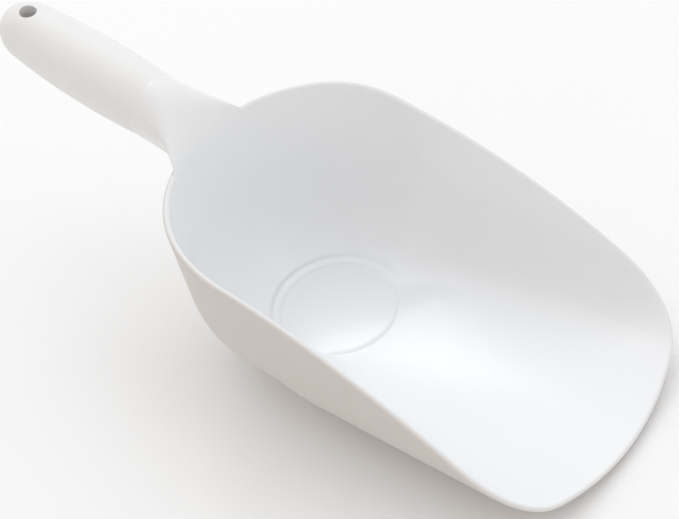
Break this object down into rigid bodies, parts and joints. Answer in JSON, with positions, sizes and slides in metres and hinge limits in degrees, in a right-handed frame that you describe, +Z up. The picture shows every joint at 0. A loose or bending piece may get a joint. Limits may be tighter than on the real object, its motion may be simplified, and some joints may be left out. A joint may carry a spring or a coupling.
{
  "type": "feed scoop",
  "caption": "One-handed plastic feed scoop: deep round-backed tub open at the front, curved side rims, raised round handle with a hanging hole.",
  "frame": {"origin": "centre of the underside of the flat foot below the bowl", "axes": "+X from the handle towards the pouring lip, +Z up; the XZ plane is the plane of symmetry"},
  "size_m": [0.351, 0.1452, 0.1422],
  "materials": {
    "bowl_plastic": "moulded white, glossy inside and satin outside",
    "grip_plastic": "moulded white, satin"
  },
  "bodies": {
    "root": {"scoop_bowl": "bowl_plastic", "handle_grip": "grip_plastic", "handle_end_plug": "grip_plastic"}
  },
  "joints": []
}
